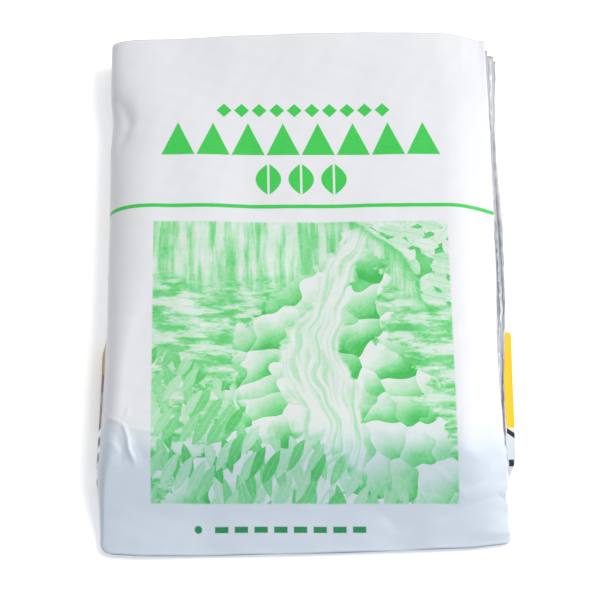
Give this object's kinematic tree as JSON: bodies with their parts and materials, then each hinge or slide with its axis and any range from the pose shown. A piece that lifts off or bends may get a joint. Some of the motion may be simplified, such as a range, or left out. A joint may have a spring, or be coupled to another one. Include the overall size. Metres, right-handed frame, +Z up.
{
  "type": "folded emergency sleeping bag",
  "caption": "Foil emergency sleeping bag, folded back and forth into a flat stack, in a white film cover that is open at its far end and along its right side.",
  "frame": {"origin": "middle of the pack's bounding box, on the surface it lies on", "axes": "+Y along the pack from its closed end to its open end, +X from the cover's fold to its open edge, +Z up"},
  "size_m": [0.1302, 0.1812, 0.0153],
  "materials": {
    "silver_film": "crinkled metallised plastic film, bright on both faces",
    "cover_film": "white glossy plastic film with a plain green print"
  },
  "bodies": {
    "root": {"folded_bag": "silver_film", "outer_cover": "cover_film"}
  },
  "joints": []
}
